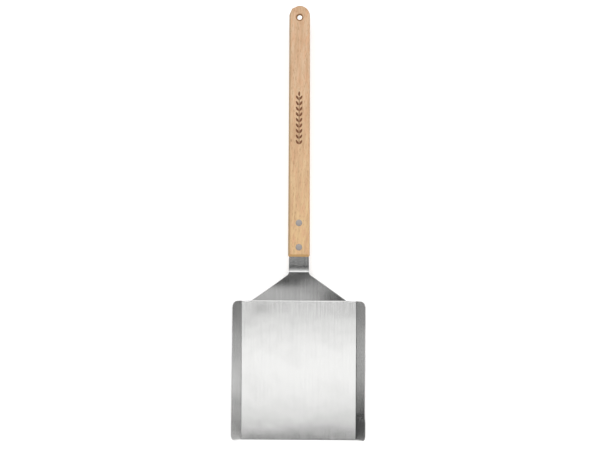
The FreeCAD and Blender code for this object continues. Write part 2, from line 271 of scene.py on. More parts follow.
sharp_lines = add_node(tree, "ShaderNodeMapRange", {
    "Value": brushing, "From Min": 0.3, "From Max": 0.7, "To Min": 0.0, "To Max": 1.0,
})
# A colour mix takes its factor at input 0 and its two colours at inputs 6 and 7.
brushed_tone = add_node(tree, "ShaderNodeMix", {
    0: sharp_lines, 6: colour("#C4C4C3"), 7: colour("#D3D3D2"),
}, data_type="RGBA").outputs[2]
# Mask of the painted shade at the pan's rear left, darkest in its middle
painted_shade_offset = add_node(tree, "ShaderNodeVectorMath", [flat, painted_shade_at], operation="SUBTRACT")
painted_shade_shape = add_node(tree, "ShaderNodeVectorMath", [
    painted_shade_offset, (1 / painted_shade_across, 1 / painted_shade_along, 0),
], operation="MULTIPLY")
painted_shade_reach = add_node(tree, "ShaderNodeVectorMath", [painted_shade_shape], operation="LENGTH").outputs["Value"]
painted_shade_mask = add_node(tree, "ShaderNodeMapRange", {
    "Value": painted_shade_reach, "From Min": 0.0, "From Max": 1.3, "To Min": 0.4, "To Max": 0.0,
}, interpolation_type="SMOOTHSTEP")
cloudy = add_node(tree, "ShaderNodeMapRange", {
    "Value": smudges, "From Min": 0.5, "From Max": 0.72, "To Min": 0.0, "To Max": 0.12,
})
# Painted shade at the rear left, added to the random cloudy smears
smears_and_painted_shade = add_node(tree, "ShaderNodeMath", [painted_shade_mask, cloudy], operation="ADD")
smeared_and_shaded_tone = add_node(tree, "ShaderNodeMix", {
    0: smears_and_painted_shade, 6: brushed_tone, 7: colour("#A2A2A1"),
}, data_type="RGBA").outputs[2]
tree.links.new(smeared_and_shaded_tone, shader.inputs["Base Color"])
matt = add_node(tree, "ShaderNodeMapRange", {
    "Value": brushing, "From Min": 0.3, "From Max": 0.7, "To Min": 0.17, "To Max": 0.23,
})
tree.links.new(matt.outputs["Result"], shader.inputs["Roughness"])
ridges = add_node(tree, "ShaderNodeBump", {"Height": brushing, "Strength": 0.3, "Distance": 0.002 * MM})
dents = add_node(tree, "ShaderNodeBump", {
    "Height": smudges, "Strength": 0.5, "Distance": 0.12 * MM, "Normal": ridges,
})
tree.links.new(dents.outputs["Normal"], shader.inputs["Normal"])
across_grain = add_node(tree, "ShaderNodeTangent", direction_type="UV_MAP", uv_map="blank")
tree.links.new(across_grain.outputs["Tangent"], shader.inputs["Tangent"])

# Press brake: rolls the sheet round an arc that starts on a line across the blank, and carries
# everything past the arc with it. Beside the punch's half width the bend fades out.
brake = bpy.data.node_groups.new("press_brake_bend", "GeometryNodeTree")
for name, kind in (
    ("Geometry", "Geometry"),
    ("Start", "Float"),
    ("Radius", "Float"),
    ("Angle", "Float"),
    ("Direction", "Vector"),
    ("Side", "Float"),
    ("Half Width", "Float"),
    ("Ease", "Float"),
    ("Material", "Material"),
):
    brake.interface.new_socket(name, in_out="INPUT", socket_type="NodeSocket" + kind)
brake.interface.new_socket("Geometry", in_out="OUTPUT", socket_type="NodeSocketGeometry")
given = add_node(brake, "NodeGroupInput").outputs
place = add_node(brake, "GeometryNodeInputPosition")
parts = add_node(brake, "ShaderNodeSeparateXYZ", [place]).outputs
along = add_node(brake, "ShaderNodeVectorMath", [place, given["Direction"]], operation="DOT_PRODUCT")
above = add_node(brake, "ShaderNodeMath", [parts["Z"], given["Side"]], operation="MULTIPLY")
past = add_node(brake, "ShaderNodeMath", [along.outputs["Value"], given["Start"]], operation="SUBTRACT")
turn = add_node(brake, "ShaderNodeMath", [past, given["Radius"]], operation="DIVIDE")
turned = add_node(brake, "ShaderNodeClamp", {"Value": turn, "Min": 0.0, "Max": given["Angle"]})
sine = add_node(brake, "ShaderNodeMath", [turned], operation="SINE")
cosine = add_node(brake, "ShaderNodeMath", [turned], operation="COSINE")
flat_before = add_node(brake, "ShaderNodeMath", [past, 0.0], operation="MINIMUM")
arc_length = add_node(brake, "ShaderNodeMath", [given["Radius"], given["Angle"]], operation="MULTIPLY")
past_arc = add_node(brake, "ShaderNodeMath", [past, arc_length], operation="SUBTRACT")
flat_after = add_node(brake, "ShaderNodeMath", [past_arc, 0.0], operation="MAXIMUM")
inner = add_node(brake, "ShaderNodeMath", [given["Radius"], above], operation="SUBTRACT")

# Where the place lands: its reach along the direction, and its height
arc_reach = add_node(brake, "ShaderNodeMath", [inner, sine], operation="MULTIPLY")
flat_reach = add_node(brake, "ShaderNodeMath", [flat_after, cosine], operation="MULTIPLY")
bent_reach = add_node(brake, "ShaderNodeMath", [arc_reach, flat_reach], operation="ADD")
reach = add_node(brake, "ShaderNodeMath", [flat_before, bent_reach], operation="ADD")
arc_level = add_node(brake, "ShaderNodeMath", [inner, cosine], operation="MULTIPLY")
arc_height = add_node(brake, "ShaderNodeMath", [given["Radius"], arc_level], operation="SUBTRACT")
flat_height = add_node(brake, "ShaderNodeMath", [flat_after, sine], operation="MULTIPLY")
height = add_node(brake, "ShaderNodeMath", [arc_height, flat_height], operation="ADD")

beside = add_node(brake, "ShaderNodeMath", [parts["X"]], operation="ABSOLUTE")
eased_out = add_node(brake, "ShaderNodeMath", [given["Half Width"], given["Ease"]], operation="ADD")
under_punch = add_node(brake, "ShaderNodeMapRange", {
    "Value": beside, "From Min": given["Half Width"], "From Max": eased_out, "To Min": 1.0, "To Max": 0.0,
}, interpolation_type="SMOOTHSTEP")
full_shift = add_node(brake, "ShaderNodeMath", [reach, past], operation="SUBTRACT")
full_lift = add_node(brake, "ShaderNodeMath", [height, above], operation="SUBTRACT")
shift = add_node(brake, "ShaderNodeMath", [full_shift, under_punch], operation="MULTIPLY")
lift = add_node(brake, "ShaderNodeMath", [full_lift, under_punch], operation="MULTIPLY")
turned_lift = add_node(brake, "ShaderNodeMath", [lift, given["Side"]], operation="MULTIPLY")
sideways = add_node(brake, "ShaderNodeVectorMath", {0: given["Direction"], "Scale": shift}, operation="SCALE")
upwards = add_node(brake, "ShaderNodeCombineXYZ", {"Z": turned_lift})
move = add_node(brake, "ShaderNodeVectorMath", [sideways, upwards], operation="ADD")
bent = add_node(brake, "GeometryNodeSetPosition", {"Geometry": given["Geometry"], "Offset": move})
real = add_node(brake, "GeometryNodeRealizeInstances", [bent])
clad = add_node(brake, "GeometryNodeSetMaterial", {"Geometry": real, "Material": given["Material"]})
add_node(brake, "NodeGroupOutput", [clad])


def draft_object(name, mesh, *materials):
    """A working object made from a bmesh, to be finished by modifiers."""
    data = bpy.data.meshes.new(name + "_draft")
    mesh.to_mesh(data)
    mesh.free()
    for material in materials:
        data.materials.append(material)
    made = bpy.data.objects.new(name + "_draft", data)
    scene.collection.objects.link(made)
    return made


def add_tree(draft, tree, values):
    """Puts a Geometry Nodes tree on a draft and sets its named inputs."""
    modifier = draft.modifiers.new(tree.name, "NODES")
    modifier.node_group = tree
    sockets = {item.name: item.identifier for item in tree.interface.items_tree if item.in_out == "INPUT"}
    for name, value in values.items():
        modifier[sockets[name]] = value


def finished(draft, name, sharp_over=30):
    """A plain mesh object of a draft with its modifiers applied, smooth but for sharp edges."""
    bpy.context.view_layer.update()
    graph = bpy.context.evaluated_depsgraph_get()
    worked = draft.evaluated_get(graph)
    mesh = bpy.data.meshes.new_from_object(worked, preserve_all_data_layers=True, depsgraph=graph)
    mesh.name = name
    mesh.shade_smooth()
    mesh.set_sharp_from_angle(angle=math.radians(sharp_over))
    piece = bpy.data.objects.new(name, mesh)
    scene.collection.objects.link(piece)
    piece.modifiers.new("flat_faces_stay_flat", "WEIGHTED_NORMAL").keep_sharp = True
    bpy.data.objects.remove(draft)
    return piece


# The crank and the folds run right across the blank. The neck's bend eases out beside its foot.
blade_draft = draft_object("blade_sheet", blank)
full_width, bend_ease = 1.0, 4 * MM
for start, radius, angle, direction, side, half_width in (
    (crank_start, neck_radius, crank_angle, (0, 1, 0), -1, full_width),
    (neck_start, neck_radius, neck_angle, (0, 1, 0), 1, foot_half),
    (fold_start, fold_radius, fold_angle, (-1, 0, 0), 1, full_width),
    (fold_start, fold_radius, fold_angle, (1, 0, 0), 1, full_width),
):
    add_tree(blade_draft, brake, {
        "Start": start,
        "Radius": radius,
        "Angle": angle,
        "Direction": direction,
        "Side": float(side),
        "Half Width": half_width,
        "Ease": bend_ease,
        "Material": steel,
    })

# Two bores through the tang for the rivets, square to the handle and measured from its mouth
mouth = Vector((
    0,
    pan_half + neck_run + strap_length * math.cos(handle_angle),
    sheet / 2 + neck_rise + strap_length * math.sin(handle_angle),
))
along_handle = Matrix.Translation(mouth) @ Matrix.Rotation(handle_angle, 4, "X")
rivet_insets, bore_half, drill_half_stroke = (11 * MM, 38 * MM), 2.4 * MM, 3 * MM


def turned_solid(mesh, profile, centre, steps=48):
    """Adds a solid of revolution about a vertical line: (radius, height) from end to end."""
    rings = []
    for radius, level in profile:
        count = steps if radius else 1
        rings.append([mesh.verts.new((
            centre[0] + radius * math.cos(2 * math.pi * i / steps),
            centre[1] + radius * math.sin(2 * math.pi * i / steps),
            level,
        )) for i in range(count)])
    for low, high in zip(rings, rings[1:]):
        for i in range(steps):
            lower = [low[i % len(low)], low[(i + 1) % len(low)]]
            upper = [high[(i + 1) % len(high)], high[i % len(high)]]
            mesh.faces.new(dict.fromkeys(lower + upper))
    bmesh.ops.recalc_face_normals(mesh, faces=mesh.faces)


tang_drill = bmesh.new()
for inset in rivet_insets:
    turned_solid(tang_drill, [
        (0, -drill_half_stroke), (bore_half, -drill_half_stroke),
        (bore_half, drill_half_stroke), (0, drill_half_stroke),
    ], (0, inset))
tang_bores = draft_object("tang_bores", tang_drill, steel)
tang_bores.data.transform(along_handle)
bored = blade_draft.modifiers.new("rivet_bores", "BOOLEAN")
bored.operation = "DIFFERENCE"
bored.solver = "EXACT"
bored.object = tang_bores

blade = finished(blade_draft, "blade_sheet", 24)
bpy.data.objects.remove(tang_bores)
blade.data.transform(Matrix.Translation((0, 0, sheet / 2)))
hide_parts("blade")
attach(blade, "root")

# ---- Handle --------------------------------------------------------------------------------
# A beech batten, 16 mm thick, with eased edges and a rounded hanging end. It is sawn at the
# front for the tang, bored for two rivets and a hanging hole, sanded and oiled.

handle_length, front_half, rear_half, thick = 275 * MM, 12 * MM, 11.3 * MM, 16 * MM
eased, nose, nose_side = 2.5 * MM, 3 * MM, 1.2 * MM
kerf_depth, kerf_width = 49 * MM, 1.3 * MM
seat_half, seat_depth, seat_play = 3.5 * MM, 1.6 * MM, 0.12 * MM
hole_inset, hole_half, countersink = 12.5 * MM, 2.75 * MM, 1.25 * MM
drill_past = 2 * MM            # how far a drill or countersink stands out of the wood
batten_sliced = (20 * MM, 250 * MM)


def cut_away(mesh, place, normal):
    """Planes a solid down: removes all that lies beyond a plane and closes the cut."""
    everything = mesh.verts[:] + mesh.edges[:] + mesh.faces[:]
    cut = bmesh.ops.bisect_plane(mesh, geom=everything, plane_co=place, plane_no=normal, clear_outer=True)
    edges = [item for item in cut["geom_cut"] if isinstance(item, bmesh.types.BMEdge)]
    bmesh.ops.edgenet_fill(mesh, edges=edges)


# The hanging end is a half round, with two flats where it was sanded on one side
round_centre = Vector((0, handle_length - rear_half))
round_end, round_steps = math.radians(100), 30
batten_edge = [Vector((front_half, 0))]
for i in range(round_steps + 1):
    angle = round_end * i / round_steps
    batten_edge.append(Vector((math.cos(angle), math.sin(angle))) * rear_half + round_centre)
batten_edge += rounded_path([
    (-1.9 * MM, handle_length - 0.1 * MM, 0),
    (-8.3 * MM, handle_length - 3.1 * MM, 1.6 * MM),
    (-11.1 * MM, handle_length - 9.8 * MM, 5 * MM),
    (-front_half, 0, 0),
], 5)[1:]
batten = board(batten_edge, thick)
long_rims = [
    edge for edge in batten.edges
    if abs(edge.verts[0].co.z - edge.verts[1].co.z) < 1e-9 and max(v.co.y for v in edge.verts) > MM
]
bmesh.ops.bevel(batten, geom=long_rims, offset=eased, segments=5, profile=0.5, affect="EDGES")
for side in (-1, 1):
    cut_away(batten, (0, 0, side * (thick / 2 - nose)), (0, -1, side))
    cut_away(batten, (side * (front_half - nose_side), 0, 0), (side, -1, 0))
slice_band(batten, batten_sliced[0], batten_sliced[1], (0, 1, 0), 12)

# What faces forward is cut across the grain and gets the darker end-grain material, which is partly painted
# shade
batten.normal_update()
for face in batten.faces:
    face.material_index = int(face.normal.y < -0.3)

saw = bmesh.new()
bmesh.ops.create_cube(saw, size=1, matrix=Matrix.Diagonal((60 * MM, 2 * kerf_depth, kerf_width, 1)))
drills = bmesh.new()
high = thick / 2 + drill_past
seat_level, seat_bore = thick / 2 - seat_depth, seat_half + seat_play
for inset in rivet_insets:
    turned_solid(drills, [
        (0, -high), (seat_bore, -high), (seat_bore, -seat_level), (bore_half, -seat_level),
        (bore_half, seat_level), (seat_bore, seat_level), (seat_bore, high), (0, high),
    ], (0, inset))
wide_level, wide = thick / 2 - countersink, hole_half + countersink + drill_past
turned_solid(drills, [
    (0, -high), (wide, -high), (hole_half, -wide_level),
    (hole_half, wide_level), (wide, high), (0, high),
], (0, handle_length - hole_inset))

# Leaf sprig burnt into the top face: a stem with pairs of leaves, stamped 0.35 mm deep.
stamp = bpy.data.node_groups.new("leaf_sprig", "GeometryNodeTree")
for name, kind in (
    ("Geometry", "Geometry"), ("Length", "Float"), ("Pairs", "Int"), ("Leaf Length", "Float"),
    ("Leaf Width", "Float"), ("Stem Width", "Float"), ("Depth", "Float"), ("Lean", "Float"),
    ("Centre", "Vector"), ("Tilt", "Float"), ("Material", "Material"),
):
    stamp.interface.new_socket(name, in_out="INPUT", socket_type="NodeSocket" + kind)
stamp.interface.new_socket("Geometry", in_out="OUTPUT", socket_type="NodeSocketGeometry")
given = add_node(stamp, "NodeGroupInput").outputs

# One leaf: a disc drawn out to a point at both ends
disc = add_node(stamp, "GeometryNodeMeshCylinder", {"Vertices": 20, "Radius": 1.0, "Depth": given["Depth"]})
spot = add_node(stamp, "ShaderNodeSeparateXYZ", [add_node(stamp, "GeometryNodeInputPosition")]).outputs
half_leaf = add_node(stamp, "ShaderNodeMath", [given["Leaf Length"], 2.0], operation="DIVIDE")
half_leaf_width = add_node(stamp, "ShaderNodeMath", [given["Leaf Width"], 2.0], operation="DIVIDE")
beside = add_node(stamp, "ShaderNodeMath", [spot["X"]], operation="ABSOLUTE")
squeezed = add_node(stamp, "ShaderNodeMath", [spot["X"], beside], operation="MULTIPLY")
pointed = add_node(stamp, "ShaderNodeMath", [squeezed, half_leaf_width], operation="MULTIPLY")
drawn_out = add_node(stamp, "ShaderNodeMath", [spot["Y"], half_leaf], operation="MULTIPLY")
from_stalk = add_node(stamp, "ShaderNodeMath", [drawn_out, half_leaf], operation="ADD")
leaf_place = add_node(stamp, "ShaderNodeCombineXYZ", {"X": pointed, "Y": from_stalk, "Z": spot["Z"]})
leaf = add_node(stamp, "GeometryNodeSetPosition", {"Geometry": disc, "Position": leaf_place})

# A row of leaves leans out on each side of the stem, and one leaf ends it
leaf_gap, last_share = 0.25 * MM, 0.55
row_count = add_node(stamp, "ShaderNodeMath", [given["Pairs"], last_share], operation="ADD")
pitch = add_node(stamp, "ShaderNodeMath", [given["Length"], row_count], operation="DIVIDE")
start = add_node(stamp, "ShaderNodeMath", [given["Length"], -2.0], operation="DIVIDE")
half_stem = add_node(stamp, "ShaderNodeMath", [given["Stem Width"], 2.0], operation="DIVIDE")
clear = add_node(stamp, "ShaderNodeMath", [half_stem, leaf_gap], operation="ADD")
joined = add_node(stamp, "GeometryNodeJoinGeometry")
for side in (-1.0, 1.0):
    stalk = add_node(stamp, "ShaderNodeMath", [clear, side], operation="MULTIPLY")
    row = add_node(stamp, "GeometryNodeMeshLine", {
        "Count": given["Pairs"],
        "Start Location": add_node(stamp, "ShaderNodeCombineXYZ", {"X": stalk, "Y": start}),
        "Offset": add_node(stamp, "ShaderNodeCombineXYZ", {"Y": pitch}),
    })
    turned = add_node(stamp, "ShaderNodeMath", [given["Lean"], -side], operation="MULTIPLY")
    leaves = add_node(stamp, "GeometryNodeInstanceOnPoints", {
        "Points": row, "Instance": leaf, "Rotation": add_node(stamp, "ShaderNodeCombineXYZ", {"Z": turned}),
    })
    stamp.links.new(leaves.outputs[0], joined.inputs[0])
half_length = add_node(stamp, "ShaderNodeMath", [given["Length"], 2.0], operation="DIVIDE")
tip_start = add_node(stamp, "ShaderNodeMath", [half_length, given["Leaf Length"]], operation="SUBTRACT")
tip = add_node(stamp, "GeometryNodeTransform", {
    "Geometry": leaf, "Translation": add_node(stamp, "ShaderNodeCombineXYZ", {"Y": tip_start}),
})
stamp.links.new(tip.outputs[0], joined.inputs[0])

# The stem stops short of the last leaf
stem_gap = 0.5 * MM
leafless = add_node(stamp, "ShaderNodeMath", [given["Length"], given["Leaf Length"]], operation="SUBTRACT")
stem_length = add_node(stamp, "ShaderNodeMath", [leafless, stem_gap], operation="SUBTRACT")
stem_size = add_node(stamp, "ShaderNodeCombineXYZ", {
    "X": given["Stem Width"], "Y": stem_length, "Z": given["Depth"],
})
stem_bar = add_node(stamp, "GeometryNodeMeshCube", {"Size": stem_size})
past_stem = add_node(stamp, "ShaderNodeMath", [given["Leaf Length"], stem_gap], operation="ADD")
stem_middle = add_node(stamp, "ShaderNodeMath", [past_stem, -0.5], operation="MULTIPLY")
stem = add_node(stamp, "GeometryNodeTransform", {
    "Geometry": stem_bar, "Translation": add_node(stamp, "ShaderNodeCombineXYZ", {"Y": stem_middle}),
})
stamp.links.new(stem.outputs[0], joined.inputs[0])
laid = add_node(stamp, "GeometryNodeTransform", {
    "Geometry": joined,
    "Translation": given["Centre"],
    "Rotation": add_node(stamp, "ShaderNodeCombineXYZ", {"X": given["Tilt"]}),
})
real = add_node(stamp, "GeometryNodeRealizeInstances", [laid])
clad = add_node(stamp, "GeometryNodeSetMaterial", {"Geometry": real, "Material": given["Material"]})
add_node(stamp, "NodeGroupOutput", [clad])

# Beech, sanded and lightly oiled: pale pinkish tan, short brown flecks of ray along the grain,
# soft darker streaks 2 to 4 mm wide, and a warmer tone towards the blade.
beech, tree, shader = new_material("oiled_beech")
shader.inputs["IOR"].default_value = 1.5
batten_place = add_node(tree, "ShaderNodeMapping", {
    "Vector": add_node(tree, "ShaderNodeTexCoord").outputs["Object"],
    "Location": -(Matrix.Rotation(-handle_angle, 3, "X") @ mouth),
    "Rotation": (-handle_angle, 0, 0),
}).outputs[0]
grain_slant = math.radians(3)
slanted = add_node(tree, "ShaderNodeMapping", {"Vector": batten_place, "Rotation": (0, 0, grain_slant)})


def grain_scale(across, length):
    """Coordinates times this: a pattern this many millimetres wide, and long along the grain."""
    return (1 / across / MM, 1 / length / MM, 1 / across / MM)


streak_grid = add_node(tree, "ShaderNodeVectorMath", [slanted, grain_scale(3.2, 38)], operation="MULTIPLY")
streaks = add_node(tree, "ShaderNodeTexNoise", {
    "Vector": streak_grid, "Scale": 1.0, "Detail": 3.0, "Roughness": 0.55, "Distortion": 0.35,
}).outputs["Fac"]
fleck_grid = add_node(tree, "ShaderNodeVectorMath", [slanted, grain_scale(0.85, 4.2)], operation="MULTIPLY")
flecks = add_node(tree, "ShaderNodeTexNoise", {
    "Vector": fleck_grid, "Scale": 1.0, "Detail": 1.5, "Roughness": 0.5,
}).outputs["Fac"]
pore_grid = add_node(tree, "ShaderNodeVectorMath", [slanted, grain_scale(0.3, 2.5)], operation="MULTIPLY")
pores = add_node(tree, "ShaderNodeTexNoise", {
    "Vector": pore_grid, "Scale": 1.0, "Detail": 2.0, "Roughness": 0.6,
}).outputs["Fac"]
blush_grid = add_node(tree, "ShaderNodeVectorMath", [slanted, grain_scale(2.4, 11)], operation="MULTIPLY")
blush = add_node(tree, "ShaderNodeTexNoise", {
    "Vector": blush_grid, "Scale": 1.0, "Detail": 2.0, "Roughness": 0.5, "Distortion": 0.5,
}).outputs["Fac"]
batten_parts = add_node(tree, "ShaderNodeSeparateXYZ", {0: batten_place}).outputs
warmth = add_node(tree, "ShaderNodeMapRange", {
    "Value": batten_parts["Y"],
    "From Min": 20 * MM, "From Max": 210 * MM, "To Min": 0.0, "To Max": 1.0,
}).outputs["Result"]
ground = add_node(tree, "ShaderNodeMix", {
    0: warmth, 6: colour("#E1BE8B"), 7: colour("#DAB996"),
}, data_type="RGBA").outputs[2]
streak_mask = add_node(tree, "ShaderNodeMapRange", {
    "Value": streaks, "From Min": 0.42, "From Max": 0.72, "To Min": 0.0, "To Max": 0.75,
}).outputs["Result"]
fleck_mask = add_node(tree, "ShaderNodeMapRange", {
    "Value": flecks, "From Min": 0.56, "From Max": 0.72, "To Min": 0.0, "To Max": 0.55,
}).outputs["Result"]
blush_mask = add_node(tree, "ShaderNodeMapRange", {
    "Value": blush, "From Min": 0.4, "From Max": 0.68, "To Min": 0.0, "To Max": 0.75,
}).outputs["Result"]

# Painted shade on the rounded long edges: they are darker and greyer, the left one more
left_edge_shade = add_node(tree, "ShaderNodeMapRange", {
    "Value": batten_parts["X"], "From Min": -9.0 * MM, "From Max": -11.0 * MM, "To Min": 0.0, "To Max": 0.75,
}).outputs["Result"]
right_edge_shade = add_node(tree, "ShaderNodeMapRange", {
    "Value": batten_parts["X"], "From Min": 10.4 * MM, "From Max": 11.8 * MM, "To Min": 0.0, "To Max": 0.2,
}).outputs["Result"]
edge_shade_mask = add_node(tree, "ShaderNodeMath", [left_edge_shade, right_edge_shade], operation="ADD")
knot_spot = (-8.8 * MM, 128.8 * MM, thick / 2)
knot_offset = add_node(tree, "ShaderNodeVectorMath", [batten_place, knot_spot], operation="SUBTRACT")
knot_grid = add_node(tree, "ShaderNodeVectorMath", [knot_offset, grain_scale(1.2, 1.9)], operation="MULTIPLY")
knot_shape = add_node(tree, "ShaderNodeVectorMath", [knot_grid], operation="LENGTH").outputs["Value"]
knot_mask = add_node(tree, "ShaderNodeMapRange", {
    "Value": knot_shape, "From Min": 0.3, "From Max": 1.2, "To Min": 0.6, "To Max": 0.0,
}).outputs["Result"]
blushed = add_node(tree, "ShaderNodeMix", {
    0: blush_mask, 6: ground, 7: colour("#DAA981"),
}, data_type="RGBA").outputs[2]
streaked = add_node(tree, "ShaderNodeMix", {
    0: streak_mask, 6: blushed, 7: colour("#C39A72"),
}, data_type="RGBA").outputs[2]
flecked = add_node(tree, "ShaderNodeMix", {
    0: fleck_mask, 6: streaked, 7: colour("#A87C55"),
}, data_type="RGBA").outputs[2]
knotted = add_node(tree, "ShaderNodeMix", {
    0: knot_mask, 6: flecked, 7: colour("#8C6A48"),
}, data_type="RGBA").outputs[2]
# The long edges darkened with painted shade
edge_shaded_tone = add_node(tree, "ShaderNodeMix", {
    0: edge_shade_mask, 6: knotted, 7: colour("#A08A66"),
}, data_type="RGBA").outputs[2]
tree.links.new(edge_shaded_tone, shader.inputs["Base Color"])
gloss = add_node(tree, "ShaderNodeMapRange", {
    "Value": pores, "From Min": 0.3, "From Max": 0.7, "To Min": 0.5, "To Max": 0.64,
})
tree.links.new(gloss.outputs["Result"], shader.inputs["Roughness"])
fibres = add_node(tree, "ShaderNodeBump", {"Height": pores, "Strength": 0.25, "Distance": 0.08 * MM})
tree.links.new(fibres.outputs["Normal"], shader.inputs["Normal"])

# Beech cut across the grain, on the faces that look forward: darker and duller, partly as end grain that
# drinks more oil and partly as painted shade on these forward faces.
end_grain, tree, shader = new_material("beech_end_grain")
shader.inputs["IOR"].default_value = 1.5
shader.inputs["Roughness"].default_value = 0.7
speckle = add_node(tree, "ShaderNodeTexNoise", {
    "Vector": add_node(tree, "ShaderNodeTexCoord").outputs["Object"], "Scale": 1 / 0.7 / MM, "Detail": 2.0,
}).outputs["Fac"]
# Darker end-grain tone, partly real end grain and partly painted shade
end_grain_and_painted_shade = add_node(tree, "ShaderNodeMix", {
    0: speckle, 6: colour("#D3AB72"), 7: colour("#C29560"),
}, data_type="RGBA").outputs[2]
tree.links.new(end_grain_and_painted_shade, shader.inputs["Base Color"])

# Beech in the bores and the hanging hole's countersink: painted darker brown, painted shade for the shade
# inside them.
drilled, tree, shader = new_material("bore_beech_painted_shade")
shader.inputs["IOR"].default_value = 1.5
shader.inputs["Roughness"].default_value = 0.8
bore_mottle = add_node(tree, "ShaderNodeTexNoise", {
    "Vector": add_node(tree, "ShaderNodeTexCoord").outputs["Object"], "Scale": 1 / 1.1 / MM, "Detail": 2.0,
}).outputs["Fac"]
# The bore walls painted darker: painted shade
bore_painted_shade = add_node(tree, "ShaderNodeMix", {
    0: bore_mottle, 6: colour("#AC7F52"), 7: colour("#8F6740"),
}, data_type="RGBA").outputs[2]
tree.links.new(bore_painted_shade, shader.inputs["Base Color"])

# Beech charred by a hot stamp: matt dark brown, uneven where the grain resisted.
charred, tree, shader = new_material("burnt_beech")
shader.inputs["IOR"].default_value = 1.5
shader.inputs["Roughness"].default_value = 0.85
patchy = add_node(tree, "ShaderNodeTexNoise", {
    "Vector": add_node(tree, "ShaderNodeTexCoord").outputs["Object"], "Scale": 1 / 1.4 / MM, "Detail": 2.0,
}).outputs["Fac"]
scorched = add_node(tree, "ShaderNodeMix", {
    0: patchy, 6: colour("#5A3420"), 7: colour("#92603F"),
}, data_type="RGBA").outputs[2]
tree.links.new(scorched, shader.inputs["Base Color"])

handle_draft = draft_object("beech_handle", batten, beech, end_grain)
saw_draft = draft_object("saw_cut", saw, end_grain)
drill_draft = draft_object("drilled_holes", drills, drilled)
stamp_draft = draft_object("hot_stamp", bmesh.new(), charred)
for draft in (handle_draft, saw_draft, drill_draft):
    draft.data.transform(along_handle)
stamp_length, stamp_height, stamp_depth = 58 * MM, 2 * MM, 0.35 * MM
stamp_aside, stamp_at = -0.2 * MM, 153.6 * MM
stamp_level = thick / 2 - stamp_depth + stamp_height / 2
add_tree(stamp_draft, stamp, {
    "Length": stamp_length,
    "Pairs": 9,
    "Leaf Length": 5.6 * MM,
    "Leaf Width": 2.3 * MM,
    "Stem Width": 0.8 * MM,
    "Depth": stamp_height,
    "Lean": math.radians(30),
    "Centre": along_handle @ Vector((stamp_aside, stamp_at, stamp_level)),
    "Tilt": handle_angle,
    "Material": charred,
})
for cutter in (saw_draft, drill_draft, stamp_draft):
    cut = handle_draft.modifiers.new(cutter.name, "BOOLEAN")
    cut.operation = "DIFFERENCE"
    cut.solver = "EXACT"
    cut.material_mode = "TRANSFER"
    cut.object = cutter
handle = finished(handle_draft, "beech_handle")
for cutter in (saw_draft, drill_draft, stamp_draft):
    bpy.data.objects.remove(cutter)
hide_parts("handle")
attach(handle, "root")

# ---- Rivets --------------------------------------------------------------------------------
# Two cutlery rivets in stainless steel hold the tang. A headed tube goes in from the top and
# a headed pin is pressed into it from below, until both heads sit in their seats.

rivet_crown, rivet_shank = 0.12 * MM, 11.8 * MM
tube_width, pin_width = 4.6 * MM, 3.2 * MM

rivets = bpy.data.node_groups.new("rivet_pair", "GeometryNodeTree")
for name, kind in (
    ("Geometry", "Geometry"), ("Head Diameter", "Float"), ("Head Thickness", "Float"), ("Crown", "Float"),
    ("Shank Diameter", "Float"), ("Shank Length", "Float"), ("Seat", "Float"), ("Face", "Float"),
    ("First", "Float"), ("Spacing", "Float"), ("Mouth", "Vector"), ("Tilt", "Float"),
    ("Material", "Material"),
):
    rivets.interface.new_socket(name, in_out="INPUT", socket_type="NodeSocket" + kind)
rivets.interface.new_socket("Geometry", in_out="OUTPUT", socket_type="NodeSocketGeometry")
given = add_node(rivets, "NodeGroupInput").outputs

# The head: a disc whose upper face is slightly crowned
head_radius = add_node(rivets, "ShaderNodeMath", [given["Head Diameter"], 2.0], operation="DIVIDE")
disc = add_node(rivets, "GeometryNodeMeshCylinder", {
    "Vertices": 48, "Fill Segments": 8, "Side Segments": 2,
    "Radius": head_radius, "Depth": given["Head Thickness"],
}, fill_type="TRIANGLE_FAN")
spot = add_node(rivets, "ShaderNodeSeparateXYZ", [add_node(rivets, "GeometryNodeInputPosition")]).outputs
flat_spot = add_node(rivets, "ShaderNodeCombineXYZ", {"X": spot["X"], "Y": spot["Y"]})
out = add_node(rivets, "ShaderNodeVectorMath", [flat_spot], operation="LENGTH").outputs["Value"]
share = add_node(rivets, "ShaderNodeMath", [out, head_radius], operation="DIVIDE")
fall = add_node(rivets, "ShaderNodeMath", [share, 4.0], operation="POWER")
left_over = add_node(rivets, "ShaderNodeMath", [1.0, fall], operation="SUBTRACT")
dome = add_node(rivets, "ShaderNodeMath", [given["Crown"], left_over], operation="MULTIPLY")
on_top = add_node(rivets, "ShaderNodeMath", [spot["Z"], 0.1 * MM], operation="GREATER_THAN")
crowning = add_node(rivets, "ShaderNodeMath", [dome, on_top], operation="MULTIPLY")
rise = add_node(rivets, "ShaderNodeCombineXYZ", {"Z": crowning})
crowned = add_node(rivets, "GeometryNodeSetPosition", {"Geometry": disc, "Offset": rise})
half_head = add_node(rivets, "ShaderNodeMath", [given["Head Thickness"], 2.0], operation="DIVIDE")
head_level = add_node(rivets, "ShaderNodeMath", [given["Face"], half_head], operation="SUBTRACT")
head = add_node(rivets, "GeometryNodeTransform", {
    "Geometry": crowned, "Translation": add_node(rivets, "ShaderNodeCombineXYZ", {"Z": head_level}),
})

